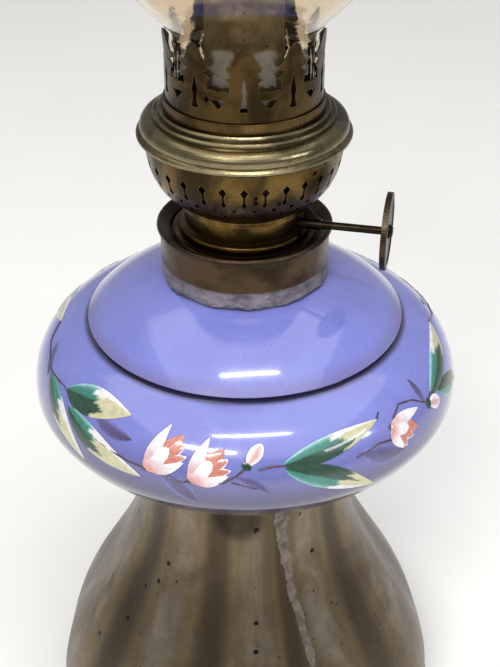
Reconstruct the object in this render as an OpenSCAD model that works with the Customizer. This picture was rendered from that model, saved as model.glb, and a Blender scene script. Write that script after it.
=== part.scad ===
// Oil lamp: a raised sheet-metal foot, an enamelled glass font, a brass round-wick
// burner that screws into the font's collar, and a bulged glass chimney.
// Origin: centre of the foot on the table. +Z is up, -Y is the front.

/* [Foot] */
// Outer radius of the foot at the table
foot_r = 82; // [68:1:100]
// Outer radius of the foot where it meets the font
foot_top_r = 41.2; // [36:0.2:50]
// Height of the sheet-metal bell
foot_h = 137; // [110:1:166]
// Thickness of the foot's sheet
foot_sheet = 0.8; // [0.6:0.1:1.2]
// Radius of the tie rod
rod_r = 3; // [2.5:0.5:4]
// Height of the ballast disc
ballast_h = 12; // [8:1:16]

/* [Font] */
// Largest radius of the glass font
font_r = 80; // [66:1:97]
// Height from the font's underside to its widest ring
font_low = 31.8; // [26:0.2:39]
// Height from the widest ring to the shoulder groove
font_up = 25.6; // [21:0.2:31]
// Radius of the raised ridge on the shoulder
ridge_r = 58.5; // [52:0.5:62]
// Thickness of the glass
glass_wall = 3.4; // [2.6:0.1:4]
// Outer radius of the glass neck inside the collar
neck_glass_r = 27.4; // [27:0.1:28]

/* [Collar] */
// Outer radius of the collar's skirt
collar_r = 30.4; // [30:0.1:33]
// Radius of the collar's threaded bore
collar_bore_r = 22.3; // [21.5:0.1:22.6]
// Height of the grey bedding ring under the collar
seal_h = 8; // [6:0.5:10]
// Height of the collar's skirt
skirt_h = 11; // [9:0.5:14]

/* [Burner] */
// Outer radius of the burner's plain neck
neck_r = 21.5; // [21:0.1:22]
// Height of the burner's neck above its floor flange
neck_h = 10.5; // [9.5:0.1:13]
// Outer radius of the air basket's top band
basket_r = 34.7; // [32:0.1:38]
// Height of the air basket
basket_h = 26.8; // [24:0.1:32]
// Number of long slots round the basket
slot_count = 30; // [18:1:30]
// Sheet thickness of the burner's stampings
brass = 0.5; // [0.4:0.05:0.6]
// Outer radius of the outer wick tube
wick_tube_r = 13.3; // [12.6:0.1:13.6]
// Height of the wick tube above the gallery's base
tube_rise = 47; // [38:1:52]

/* [Gallery] */
// Outer radius of the gallery that holds the chimney
gallery_r = 26.75; // [26.5:0.05:27.2]
// Height of the gallery to its prong tips
gallery_h = 25; // [22:0.5:28]
// Number of prongs
prong_count = 10; // [8:1:10]
// How far the prong tips stand out from the gallery's wall
prong_flare = 0.8; // [0.6:0.1:1.2]

/* [Chimney] */
// Outer radius of the chimney's base
chimney_base_r = 24.9; // [24.4:0.1:25.2]
// Outer radius of the chimney's bulge
bulge_r = 47; // [38:0.5:52]
// Outer radius of the chimney's mouth
mouth_r = 20.6; // [18:0.2:24]
// Height of the chimney
chimney_h = 240; // [200:1:288]
// Thickness of the chimney's glass
chimney_wall = 1.6; // [1.2:0.1:2]

/* [Wick drive] */
// Radius of the spindle
spindle_r = 1.4; // [1.2:0.1:1.6]
// Distance from the lamp's axis to the spindle's line, towards the front
spindle_offset = 5.2; // [5:0.1:5.6]
// Turn of the spindle's line from +X towards the front, in degrees
spindle_turn = 12; // [0:1:20]
// Distance along the spindle from its middle to the knob's middle
knob_reach = 51.5; // [46:0.5:61]
// Radius of the milled knob
knob_r = 13.3; // [11:0.1:15]
// Thickness of the knob's rim
knob_t = 2.1; // [1.8:0.1:2.6]
// Thickness of the wick
wick_t = 1.8; // [1.6:0.1:1.8]

/* [Fits] */
// Radial clearance of a running fit
run_fit = 0.08; // [0.04:0.01:0.1]
// Radial gap between parts that slide or screw past each other
slide_gap = 0.3; // [0.2:0.05:0.4]
// Gap between parts that only lie next to each other
rest_gap = 0.1; // [0.05:0.05:0.2]

/* [Hidden] */
$fn = 96;
cut = 1; // how far a cutter runs past the wall it cuts

// Foot
rim_h = 3.2;
rim_lip = 1;
plate_z = 6;
plate_t = 1.2;
washer_t = 1;
nut_h = 4;
nut_r = 5.8;
rod_end = 0.4;
ballast_r = 62;
shell_inner_r = foot_r - foot_sheet;

// Socket between foot and font
socket_r = foot_top_r - foot_sheet - rest_gap;
socket_depth = 13;
lip_t = 1;
lip_over = 1.2;
socket_floor_z = foot_h - socket_depth;
font_z = foot_h + lip_t + 0.6;
boss_r = 34;
boss_h = 8.1;
nut_pocket_r = 7;

// Font
equator_z = font_z + font_low;
ridge_z = equator_z + font_up;
ridge_h = 1.5;
dome_h = 17;
dome_z = ridge_z + ridge_h + dome_h;
base_h = glass_wall + 6;
seal_r = collar_r + 0.5;

// Collar
skirt_z = dome_z - 1.6 + seal_h;
seat_z = skirt_z + skirt_h - 1;
collar_t = 0.8;
thread_wall_r = collar_bore_r + collar_t;
ledge_r = 26.4;

// Burner, from the seat up
flange_z = seat_z + 0.8;
floor_z = flange_z + 0.8;
floor_t = 0.8;
neck_top_z = flange_z + neck_h;
ring_h = 1.7;
basket_z = neck_top_z + ring_h;
basket_top_z = basket_z + basket_h;
cover_h = 7.7;
cover_top_z = basket_top_z + cover_h;
gallery_z = cover_top_z + 3.5;
thread_r = collar_bore_r - slide_gap;
neck_bore_r = neck_r - 0.6;
step_r = neck_bore_r - 0.7;
tube_top_z = gallery_z + tube_rise;
tube_low_z = flange_z - 10.8;

// Wick and the tube inside it
tube_bore_r = wick_tube_r - brass;
wick_outer_r = tube_bore_r - slide_gap;
wick_inner_r = wick_outer_r - wick_t;
draft_r = wick_inner_r - slide_gap;
draft_z = gallery_z - 22;
wick_top_z = tube_top_z + 1;
wick_round_z = draft_z - 5.5;
wick_low_z = font_z + glass_wall + 13;
duct_half = 3.6;
duct_h = 10.8;
duct_z = draft_z + 1.6;
duct_end = 18;
duct_t = 0.4;
wick_drop = 11.8; // how far the wick can be lowered

// Spindle
spindle_z = flange_z + 5.9;
sleeve_r = spindle_r + run_fit + 0.52;
sleeve_start = 11.9;
sleeve_end = 28.5;
wheel_tip_r = 3.8;
wheel_root_r = 2.6;
wheel_teeth = 8;
wheel_w = 1.6;
wheel_pitch = 5;
cap_r = 2.4;
cap_t = 1.2;
wick_face = spindle_offset - wheel_tip_r - slide_gap;

// Points of a cubic curve from a to d with handles b and c
function curve(a, b, c, d, n) = [for (i = [0:n]) let (t = i / n, s = 1 - t)
  s * s * s * a + 3 * s * s * t * b + 3 * s * t * t * c + t * t * t * d];

// Points of an arc about c from angle a0 to a1
function arc(c, r, a0, a1, n) = [for (i = [0:n]) let (a = a0 + (a1 - a0) * i / n)
  c + r * [cos(a), sin(a)]];

// The path moved to its left by t, for the other face of a wall
function beside(p, t) = [for (i = [0:len(p) - 1])
  let (v = p[min(i + 1, len(p) - 1)] - p[max(i - 1, 0)]) p[i] + t / norm(v) * [-v[1], v[0]]];

function reversed(p) = [for (i = [len(p) - 1:-1:0]) p[i]];

// Outline of a wall whose outer face is a path that runs upwards
function wall(p, t) = concat(p, reversed(beside(p, t)));

// A smooth step from 0 to 1
function ease(t) = t * t * t * (t * (6 * t - 15) + 10);

// Outer radius of the foot at height z
function foot_radius(z) = foot_top_r + (foot_r - foot_top_r) * ease((foot_h - z) / foot_h);

module turned(points) {
  rotate_extrude() polygon(points);
}

module ring(r_out, r_in, z, h) {
  translate([0, 0, z]) difference() {
    cylinder(r = r_out, h = h);
    translate([0, 0, -cut]) cylinder(r = r_in, h = h + 2 * cut);
  }
}

// Children stand on the spindle's line: their X is along it, Y points to the back
module on_spindle() {
  rotate([0, 0, -spindle_turn]) translate([0, -spindle_offset, spindle_z]) children();
}

// A bar of radius r along the spindle's line from s0 to s1
module spindle_bar(r, s0, s1) {
  on_spindle() translate([s0, 0, 0]) rotate([0, 90, 0]) cylinder(r = r, h = s1 - s0);
}

// A cutter through a wall: its outline's X runs round the lamp and its Y is height
module radial_cut(angle, r0, r1, points) {
  rotate([0, 0, angle]) translate([r0, 0, 0]) rotate([90, 0, 90])
    linear_extrude(height = r1 - r0) polygon(points);
}

// ---------- Foot ----------

module foot_shell() {
  steps = 22;
  path = [for (i = [0:steps]) let (z = rim_h + (foot_h - rim_h) * i / steps) [foot_radius(z), z]];
  color("dimgray") turned(wall(path, foot_sheet));
}

module foot_rim() {
  in_r = shell_inner_r - rest_gap;
  color("gray") turned([
    [in_r - 3, 0], [foot_r + 0.2, 0], [foot_r + rim_lip, 0.8], [foot_r + rim_lip, rim_h - 0.8],
    [foot_r + 0.2, rim_h], [in_r, rim_h], [in_r, plate_z], [in_r - 3, plate_z]
  ]);
}

module bottom_plate() {
  color("slategray") ring(shell_inner_r - rest_gap, rod_r + rest_gap, plate_z, plate_t);
}

module ballast() {
  z = plate_z + plate_t;
  color("darkslategray") turned([
    [rod_r + rest_gap, z], [ballast_r, z], [ballast_r, z + 4],
    [ballast_r * 0.72, z + ballast_h], [rod_r + rest_gap, z + ballast_h]
  ]);
}

module tie_rod() {
  color("gray") translate([0, 0, rod_end])
    cylinder(r = rod_r, h = socket_floor_z + foot_sheet + nut_h + 0.5 - rod_end);
}

module rod_washer() {
  color("silver") ring(rod_r * 3, rod_r + rest_gap, plate_z - washer_t, washer_t);
}

module nut(z) {
  translate([0, 0, z]) difference() {
    cylinder(r = nut_r, h = nut_h, $fn = 6);
    translate([0, 0, -cut]) cylinder(r = rod_r, h = nut_h + 2 * cut);
  }
}

module rod_nuts() {
  color("silver") {
    nut(plate_z - washer_t - nut_h);
    nut(socket_floor_z + foot_sheet);
  }
}

module font_socket() {
  t = foot_sheet;
  color("darkgray") turned([
    [rod_r + rest_gap, socket_floor_z], [socket_r, socket_floor_z], [socket_r, foot_h],
    [foot_top_r + lip_over, foot_h], [foot_top_r + lip_over, foot_h + lip_t],
    [socket_r - t, foot_h + lip_t], [socket_r - t, socket_floor_z + t],
    [rod_r + rest_gap, socket_floor_z + t]
  ]);
}

module socket_plaster() {
  out_r = socket_r - foot_sheet;
  z = socket_floor_z + foot_sheet;
  color("lightgray") turned([
    [nut_pocket_r, z], [out_r, z], [out_r, font_z], [boss_r, font_z],
    [boss_r, font_z - boss_h], [nut_pocket_r, font_z - boss_h]
  ]);
}

// ---------- Font ----------

function font_path() = concat(
  curve([font_r * 0.525, font_z], [font_r * 0.825, font_z + font_low * 0.36],
        [font_r, equator_z - font_low * 0.28], [font_r, equator_z], 12),
  curve([font_r, equator_z], [font_r, equator_z + font_up * 0.41],
        [font_r * 0.9375, ridge_z - font_up * 0.21], [ridge_r - 0.5, ridge_z], 12),
  curve([ridge_r, ridge_z + ridge_h], [ridge_r - 4.5, ridge_z + ridge_h + dome_h * 0.26],
        [ridge_r - 12.5, dome_z - dome_h * 0.29], [neck_glass_r, dome_z], 10),
  [[neck_glass_r, dome_z + 1], [neck_glass_r, seat_z - 1.6]]
);

// The font is blown in one piece. Its thick base and the bowl above it are separate solids
// that meet in a level face, so that each has a simple shape.
module whole_font() {
  path = font_path();
  inside = beside(path, glass_wall);
  turned(concat(
    [[0, font_z - boss_h], [boss_r, font_z - boss_h], [boss_r, font_z]],
    path, reversed(inside), [[0, inside[0][1]]]
  ));
}

module base_block() {
  translate([0, 0, font_z - boss_h - cut]) cylinder(h = boss_h + base_h + cut, r = font_r + cut);
}

module font_base() {
  color("royalblue") intersection() {
    whole_font();
    base_block();
  }
}

module font() {
  color("cornflowerblue") difference() {
    whole_font();
    base_block();
  }
}

module collar_seal() {
  color("lightsteelblue") difference() {
    ring(seal_r, neck_glass_r, dome_z - 6, skirt_z - dome_z + 6);
    turned(concat([[0, font_z]], font_path(), [[0, seat_z]]));
  }
}

module collar_plaster() {
  skirt_in = collar_r - collar_t;
  neck_in = neck_glass_r - glass_wall;
  top = seat_z - collar_t;
  color("gainsboro") turned([
    [neck_glass_r, skirt_z], [skirt_in, skirt_z], [skirt_in, top], [thread_wall_r, top],
    [thread_wall_r, skirt_z + 1], [neck_in, skirt_z + 1], [neck_in, seat_z - 1.6],
    [neck_glass_r, seat_z - 1.6]
  ]);
}

module collar() {
  t = collar_t;
  lip_z = seat_z + 3.5;
  color("darkgoldenrod") turned(concat(
    [[collar_r - t, skirt_z], [collar_r, skirt_z], [collar_r, seat_z + 1]],
    arc([collar_r + 0.1, lip_z - 1.1], 1.1, -70, 110, 8),
    [
      [ledge_r + 0.5, seat_z + 1.4], [ledge_r, seat_z], [collar_bore_r, seat_z],
      [collar_bore_r, skirt_z + 0.5], [thread_wall_r, skirt_z + 0.5], [thread_wall_r, seat_z - t],
      [ledge_r + 0.7, seat_z - t], [ledge_r + 1.1, seat_z + 0.4], [collar_r - t, seat_z + 1.7]
    ]
  ));
}

// ---------- Burner ----------

module burner_gasket() {
  color("saddlebrown") ring(ledge_r - 1, collar_bore_r + 0.05, seat_z + 0.05, 0.7);
}

module thread_ring() {
  color("goldenrod") ring(thread_r, neck_bore_r, flange_z - 9.3, 9.3);
}

module burner_neck() {
  flange_r = ledge_r - 0.8;
  color("darkgoldenrod") difference() {
    turned(concat(
      [[step_r, flange_z], [flange_r, flange_z], [flange_r, flange_z + 0.6], [neck_r + 1.2, flange_z + 0.8]],
      arc([neck_r + 1.1, flange_z + 2.1], 1.1, -60, 90, 8),
      [
        [neck_r, flange_z + 3.7], [neck_r, neck_top_z], [neck_bore_r, neck_top_z],
        [neck_bore_r, floor_z], [step_r, floor_z]
      ]
    ));
    spindle_bar(sleeve_r, sleeve_start, sleeve_end);
  }
}

module burner_floor() {
  color("peru") ring(neck_bore_r - rest_gap, wick_tube_r + rest_gap, floor_z, floor_t);
}

module basket_ring() {
  color("orange") ring(neck_r + 1.2, neck_bore_r, neck_top_z, ring_h);
}

function basket_path() = concat(
  curve([neck_r + 1.1, basket_z], [basket_r - 2.7, basket_z + 6], [basket_r - 0.7, basket_z + 13],
        [basket_r, basket_z + 24], 12),
  [[basket_r, basket_top_z]]
);

// A spade head over a thin stem and a small diamond
slot_shape = [
  [0, 0], [1, 1.6], [0.4, 2.6], [0.35, 4.9], [1.35, 6.6], [0, 8.3],
  [-1.35, 6.6], [-0.35, 4.9], [-0.4, 2.6], [-1, 1.6]
];

module basket_holes(r, z, turn) {
  for (i = [0:slot_count - 1])
    rotate([0, 0, turn - 90 + i * 360 / slot_count]) translate([basket_r * 0.6, 0, z])
      rotate([0, 90, 0]) cylinder(r = r, h = basket_r, $fn = 16);
}

module basket() {
  path = basket_path();
  pitch = 360 / slot_count;
  foot_in = neck_r - 0.3;
  color("goldenrod") difference() {
    turned(concat([[foot_in, basket_z]], path, reversed(beside(path, brass)),
                  [[foot_in, basket_z + brass]]));
    for (i = [0:slot_count - 1])
      translate([0, 0, basket_z + 10.4])
        radial_cut(-90 + i * pitch, basket_r * 0.6, basket_r + cut, slot_shape);
    basket_holes(0.85, basket_z + 9.2, pitch / 2);
    basket_holes(0.75, basket_z + 6.6, 0);
  }
}

module vent_cover() {
  z = basket_top_z;
  r = basket_r;
  swell = curve([r + 1.3, z + 0.5], [r + 1.3, z + 2.9], [r - 0.3, z + 4.5], [r - 2.8, z + 4.6], 8);
  color("darkkhaki") turned(concat(
    [
      [r + 0.1, z - 2.7], [r + 1.9, z - 2.7], [r + 2.5, z - 2.1], [r + 2.5, z - 1.4],
      [r + 1.9, z - 0.8], [r + 1, z - 0.3], [r + 1, z + 0.3]
    ],
    swell,
    [
      [r - 3.2, z + 4.6], [r - 3.2, z + 5.7], [r - 3.7, z + 6.1], [r - 5.2, z + 6.1],
      [r - 5.2, z + 7.3], [r - 5.6, cover_top_z], [neck_r + 3.7, cover_top_z],
      [neck_r + 3.7, cover_top_z - brass], [r - 6, cover_top_z - brass], [r - 5.9, z + 5.6],
      [r - 3.9, z + 5.5], [r - 3.8, z + 4]
    ],
    reversed(beside(swell, brass)),
    [[r - 0.7, z + 0.6], [r - 0.7, z], [r + 0.1, z]]
  ));
}

module knurled_ring() {
  z = cover_top_z;
  color("darkgoldenrod") turned([
    [gallery_r - 1.35, z], [gallery_r + 0.75, z], [gallery_r + 0.75, gallery_z],
    [gallery_r - 0.75, gallery_z], [gallery_r - 0.75, gallery_z - 0.8],
    [gallery_r - 2.15, gallery_z - 0.8], [gallery_r - 2.15, gallery_z - 1.4],
    [gallery_r - 1.35, gallery_z - 1.4]
  ]);
}

module chimney_rest() {
  hole_count = 20;
  hole_r = 1.7;
  hole_ring_r = (wick_tube_r + gallery_r) / 2 - 0.6;
  color("tan") difference() {
    ring(gallery_r - 0.85, wick_tube_r + rest_gap, gallery_z - 0.8, 0.8);
    for (i = [0:hole_count - 1])
      rotate([0, 0, i * 360 / hole_count]) translate([hole_ring_r, 0, gallery_z - 0.8 - cut])
        cylinder(r = hole_r, h = 0.8 + 2 * cut, $fn = 24);
  }
}

// Half widths of a prong from its root to its tip, as [half width, height]
prong_side = [
  [4.6, 10.4], [4.6, 13.4], [6, 14.8], [4.9, 15.2], [3.2, 16.3], [5.3, 17.2], [5.7, 18.5],
  [4.1, 19.6], [2.9, 21.6], [2.3, 23.6], [1.2, 24.6]
];

// The open notch between two prongs, with a wavy floor
function notch_shape() = let (
  half_pitch = PI * gallery_r / prong_count,
  side = [for (p = prong_side) [half_pitch - p[0], p[1]]],
  tip = [half_pitch - 0.7, gallery_h + 1]
) concat(
  [[-1.9, 10.9], [0, 10.2], [1.9, 10.9]], side, [tip, [-tip[0], tip[1]]],
  reversed([for (p = side) [-p[0], p[1]]])
);

vase_shape = [
  [-1.5, 3.9], [1.5, 3.9], [0.8, 6.2], [0.75, 7.8], [1.15, 9.4], [1.05, 10.6], [0.5, 12.2],
  [0.4, 13.6], [0, 15], [-0.4, 13.6], [-0.5, 12.2], [-1.05, 10.6], [-1.15, 9.4], [-0.75, 7.8],
  [-0.8, 6.2]
];

triangle_shape = [[0, 4.5], [2.8, 7.6], [-2.8, 7.6]];

module gallery() {
  path = concat([[gallery_r, gallery_z], [gallery_r, gallery_z + gallery_h - 7]],
                [[gallery_r + prong_flare, gallery_z + gallery_h]]);
  pitch = 360 / prong_count;
  color("darkgoldenrod") difference() {
    turned(wall(path, brass));
    translate([0, 0, gallery_z]) for (i = [0:prong_count - 1]) {
      radial_cut(-90 + i * pitch, gallery_r - 3, gallery_r + 3, vase_shape);
      radial_cut(-90 + (i + 0.5) * pitch, gallery_r - 3, gallery_r + 3, triangle_shape);
      radial_cut(-90 + (i + 0.5) * pitch, gallery_r - 3, gallery_r + 3, notch_shape());
    }
  }
}

// The duct's outside, which the tubes and the wick make room for
module duct_block() {
  rotate([0, 0, -spindle_turn]) translate([-duct_half, 0, duct_z])
    cube([2 * duct_half, duct_end, duct_h]);
}

module wick_tube() {
  color("dimgray") difference() {
    turned([
      [tube_bore_r, tube_low_z], [wick_tube_r, tube_low_z], [wick_tube_r, floor_z + floor_t],
      [wick_tube_r + 1.6, floor_z + floor_t], [wick_tube_r + 1.6, floor_z + floor_t + 0.5],
      [wick_tube_r, floor_z + floor_t + 0.5], [wick_tube_r, tube_top_z], [tube_bore_r, tube_top_z]
    ]);
    duct_block();
    spindle_bar(sleeve_r, sleeve_start - 3, sleeve_end);
    spindle_bar(sleeve_r, -sleeve_start - 4.3, -sleeve_start + 3);
  }
}

module draft_tube() {
  color("gray") difference() {
    turned([
      [0, draft_z], [draft_r, draft_z], [draft_r, tube_top_z], [draft_r - brass, tube_top_z],
      [draft_r - brass, draft_z + brass], [0, draft_z + brass]
    ]);
    duct_block();
  }
}

module draft_duct() {
  t = duct_t;
  color("silver") difference() {
    duct_block();
    rotate([0, 0, -spindle_turn]) translate([-duct_half + t, -cut, duct_z + t])
      cube([2 * (duct_half - t), duct_end + 2 * cut, duct_h - 2 * t]);
    translate([0, 0, duct_z - cut]) cylinder(r = draft_r - brass, h = duct_h + 2 * cut);
  }
}

module spindle_sleeve() {
  color("darkgoldenrod") difference() {
    spindle_bar(sleeve_r, sleeve_start, sleeve_end);
    spindle_bar(spindle_r + run_fit, sleeve_start - cut, sleeve_end + cut);
  }
}

// A thin web that ties the sleeve to the underside of the basket
module spindle_gusset() {
  t = 0.6;
  rise = 8;
  color("gray") difference() {
    on_spindle() translate([0, t / 2, 0]) rotate([90, 0, 0]) linear_extrude(height = t)
      polygon([[neck_r - 3, 0], [sleeve_end, 0], [sleeve_end, sleeve_r * 0.7],
               [neck_r + 1.2, rise], [neck_r - 3, rise]]);
    spindle_bar(sleeve_r, sleeve_start, sleeve_end + cut);
    cylinder(r = neck_r, h = neck_top_z);
    cylinder(r = neck_r + 1.2, h = basket_z);
    turned(concat([[0, basket_z]], basket_path(), [[0, basket_top_z]]));
  }
}

module spindle_bearing() {
  depth = 4.3;
  color("darkgoldenrod") difference() {
    spindle_bar(sleeve_r, -sleeve_start - depth, -sleeve_start);
    spindle_bar(spindle_r + run_fit, -sleeve_start - depth + 0.8, -sleeve_start + cut);
  }
}

// ---------- Wick drive ----------

module spindle() {
  color("darkolivegreen") spindle_bar(spindle_r, -sleeve_start - 3.2, knob_reach + knob_t / 2 + 0.6);
}

module star_wheels() {
  tooth = 360 / wheel_teeth;
  star = [for (i = [0:wheel_teeth - 1]) for (k = [-1, 1, 2])
    let (a = i * tooth + (k == 2 ? tooth / 2 : k * 6), r = k == 2 ? wheel_root_r : wheel_tip_r)
    r * [cos(a), sin(a)]];
  color("darkgoldenrod") on_spindle() for (i = [-1.5:1:1.5])
    translate([i * wheel_pitch - wheel_w / 2, 0, 0]) rotate([0, 90, 0])
      linear_extrude(height = wheel_w) difference() {
        polygon(star);
        circle(r = spindle_r);
      }
}

module knob() {
  dish_r = knob_r - 1.5;
  color("darkolivegreen") on_spindle() translate([knob_reach - knob_t / 2, 0, 0]) rotate([0, 90, 0])
    turned([
      [spindle_r, 0.3], [dish_r, 0.3], [dish_r, 0], [knob_r - 0.3, 0], [knob_r, 0.3],
      [knob_r, knob_t - 0.3], [knob_r - 0.3, knob_t], [dish_r, knob_t], [dish_r - 0.5, knob_t - 0.4],
      [spindle_r, knob_t - 0.4]
    ]);
}

module knob_cap() {
  s = knob_reach + knob_t / 2 - 0.4;
  color("goldenrod") difference() {
    on_spindle() translate([s, 0, 0]) rotate([0, 90, 0]) turned([
      [0, 0], [cap_r, 0], [cap_r, cap_t * 0.5], [cap_r * 0.7, cap_t + 0.2], [0, cap_t + 0.4]
    ]);
    spindle_bar(spindle_r, 0, knob_reach + knob_t / 2 + 0.6);
  }
}

// The wick: a round sleeve above, folded flat behind the star wheels below
module wick() {
  arm = 6.5;
  half = 11.2;
  slit = duct_half + slide_gap;
  color("wheat") {
    difference() {
      ring(wick_outer_r, wick_inner_r, wick_round_z, wick_top_z - wick_round_z);
      rotate([0, 0, -spindle_turn]) translate([-slit, 0, wick_round_z - cut])
        cube([2 * slit, wick_outer_r + cut, duct_z + duct_h + wick_drop - wick_round_z + cut]);
    }
    rotate([0, 0, -spindle_turn]) translate([0, -wick_face, wick_low_z])
      linear_extrude(height = wick_round_z + 1 - wick_low_z) polygon([
        [-half, 0], [half, 0], [half, arm], [half - wick_t, arm], [half - wick_t, wick_t],
        [wick_t - half, wick_t], [wick_t - half, arm], [-half, arm]
      ]);
  }
}

// ---------- Chimney ----------

function heading(a) = [cos(a), sin(a)];

function chimney_path() = let (
  z = gallery_z + 0.1,
  base_top = z + gallery_h - 4,
  round_r = 20,
  centre = [bulge_r - round_r, base_top + 36],
  low_a = -18,
  high_a = 50,
  low = centre + round_r * heading(low_a),
  high = centre + round_r * heading(high_a)
) concat(
  [[chimney_base_r, z]],
  curve([chimney_base_r, base_top], [chimney_base_r, base_top + 6], low - 16 * heading(low_a + 90), low, 12),
  reversed(arc(centre, round_r, high_a, low_a + 4, 12)),
  curve(high + 0.5 * heading(high_a + 90), high + 14 * heading(high_a + 90), [mouth_r + 1.8, base_top + 67],
        [mouth_r + 1.6, base_top + 84], 12),
  [[mouth_r, z + chimney_h - 0.1]]
);

module chimney() {
  color("gainsboro", 0.4) turned(wall(chimney_path(), chimney_wall));
}

foot_shell();
foot_rim();
bottom_plate();
ballast();
tie_rod();
rod_washer();
rod_nuts();
font_socket();
socket_plaster();
font_base();
font();
collar_seal();
collar_plaster();
collar();
burner_gasket();
thread_ring();
burner_neck();
burner_floor();
basket_ring();
basket();
vent_cover();
knurled_ring();
chimney_rest();
gallery();
wick_tube();
draft_tube();
draft_duct();
spindle_sleeve();
spindle_gusset();
spindle_bearing();
spindle();
star_wheels();
knob();
knob_cap();
wick();
chimney();
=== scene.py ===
# %% [markdown]
# An old oil lamp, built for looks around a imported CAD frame. The lamp has a raised sheet-metal
# foot, a blue glass font with an enamelled garland, a brass round-wick burner and a bulged glass
# chimney. The frame holds every size and joint. This script adds fine meshes where an eye would
# rest, and a finish to everything else.

# %% Load the frame
import math
import bmesh
import bpy
from mathutils import Matrix, Vector, noise
from mathutils.bvhtree import BVHTree


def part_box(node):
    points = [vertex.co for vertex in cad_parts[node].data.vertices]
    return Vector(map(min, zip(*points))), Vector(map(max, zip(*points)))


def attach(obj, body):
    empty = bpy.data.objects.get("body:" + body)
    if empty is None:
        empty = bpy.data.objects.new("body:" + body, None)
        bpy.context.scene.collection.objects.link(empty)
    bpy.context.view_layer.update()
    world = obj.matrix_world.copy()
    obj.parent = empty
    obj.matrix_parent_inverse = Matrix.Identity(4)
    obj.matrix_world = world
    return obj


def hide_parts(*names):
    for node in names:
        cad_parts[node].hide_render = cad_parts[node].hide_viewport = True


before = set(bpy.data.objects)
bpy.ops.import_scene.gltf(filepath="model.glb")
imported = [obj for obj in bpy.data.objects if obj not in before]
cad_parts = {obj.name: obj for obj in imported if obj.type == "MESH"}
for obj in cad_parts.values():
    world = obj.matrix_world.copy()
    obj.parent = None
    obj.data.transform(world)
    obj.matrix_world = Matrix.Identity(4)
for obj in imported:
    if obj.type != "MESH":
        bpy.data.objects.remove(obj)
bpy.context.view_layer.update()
MM = 0.001

# %% [markdown]
# The camera stands a little above the lamp and looks down on it, so that the burner fills the
# top of the picture and the foot runs out of the bottom. It comes first, because all the
# modelling is judged through it. The view transform is the plain one, so that a paint colour
# chosen here is the colour that shows.

# %% Camera
EYE = Vector((0.0019, -0.3831, 0.4353))
PITCH = math.radians(33.16)
lens = bpy.data.cameras.new("picture_camera")
lens.lens = 64.8
lens.sensor_width = 36
lens.clip_start = 0.01
camera = bpy.data.objects.new("picture_camera", lens)
camera.location = EYE
camera.rotation_euler = (math.pi / 2 - PITCH, 0, 0)
bpy.context.scene.collection.objects.link(camera)
bpy.context.scene.camera = camera
bpy.context.scene.view_settings.view_transform = "Standard"
print("camera at", [round(v, 3) for v in EYE])

# %% [markdown]
# Large soft lamps and a pale floor give a calm studio picture. Metal and glossy glass mirror
# whatever stands round them, so the sky is kept dimmer than the softboxes: that leaves dark
# parts in the reflections, which is what makes brass look like brass.


# %% Floor, sky and softboxes
def softbox(name, place, target, size, watts, tint=(1, 1, 1)):
    """An area lamp of the given size that points at target."""
    data = bpy.data.lights.new(name, "AREA")
    data.shape = "RECTANGLE"
    data.size, data.size_y = size
    data.energy = watts
    data.color = tint
    box = bpy.data.objects.new(name, data)
    box.location = place
    box.rotation_euler = (Vector(target) - Vector(place)).to_track_quat("-Z", "Y").to_euler()
    bpy.context.scene.collection.objects.link(box)
    return box


MIDDLE = (0, 0, 0.2)
softbox("top_light", (0, -0.9, 2.3), (0, -0.9, 0), (3.6, 4.4), 48)
softbox("key_light", (-0.35, -0.85, 1.05), MIDDLE, (0.55, 0.10), 7, (1, 0.97, 0.92))
softbox("fill_light", (0.85, -0.6, 0.7), MIDDLE, (0.5, 0.12), 3, (0.95, 0.97, 1))
softbox("strip_light", (0.05, -0.45, 1.3), MIDDLE, (0.6, 0.05), 3.5)
sky = bpy.data.worlds.new("studio")
sky.use_nodes = True
sky.node_tree.nodes["Background"].inputs["Color"].default_value = (1.0, 0.98, 0.95, 1)
sky.node_tree.nodes["Background"].inputs["Strength"].default_value = 0.34
bpy.context.scene.world = sky
print("lamps:", len(bpy.data.lights))


# %% [markdown]
# Node trees, for shapes and for finishes alike, are long to write out. A small helper takes
# sockets or plain numbers for any input, so that each tree below reads like a recipe.


# %% A short way to write node trees
class Tree:
    """Adds nodes to a tree. Any input takes a socket, which is linked, or a plain value."""

    def __init__(self, tree):
        self.tree = tree

    def put(self, socket, value):
        if isinstance(value, bpy.types.NodeSocket):
            self.tree.links.new(value, socket)
        else:
            socket.default_value = value

    def node(self, kind, inputs=None, **settings):
        made = self.tree.nodes.new(kind)
        for key, value in settings.items():
            setattr(made, key, value)
        for key, value in (inputs or {}).items():
            self.put(made.inputs[key], value)
        return made

    def math(self, operation, *values):
        made = self.node("ShaderNodeMath", operation=operation)
        for socket, value in zip(made.inputs, values):
            self.put(socket, value)
        return made.outputs[0]

    def times(self, first, second):
        return self.math("MULTIPLY", first, second)

    def plus(self, first, second):
        return self.math("ADD", first, second)

    def minus(self, first, second):
        return self.math("SUBTRACT", first, second)

    def remap(self, value, low, high, new_low=0.0, new_high=1.0, how="SMOOTHSTEP"):
        made = self.node("ShaderNodeMapRange", interpolation_type=how)
        for socket, number in zip(made.inputs, (value, low, high, new_low, new_high)):
            self.put(socket, number)
        return made.outputs[0]

    def mix(self, factor, first, second):
        made = self.node("ShaderNodeMix", data_type="RGBA")
        for socket, value in zip((made.inputs[0], made.inputs[6], made.inputs[7]), (factor, first, second)):
            self.put(socket, value)
        return made.outputs[2]


def rgb(r, g, b):
    return (r, g, b, 1.0)


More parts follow.
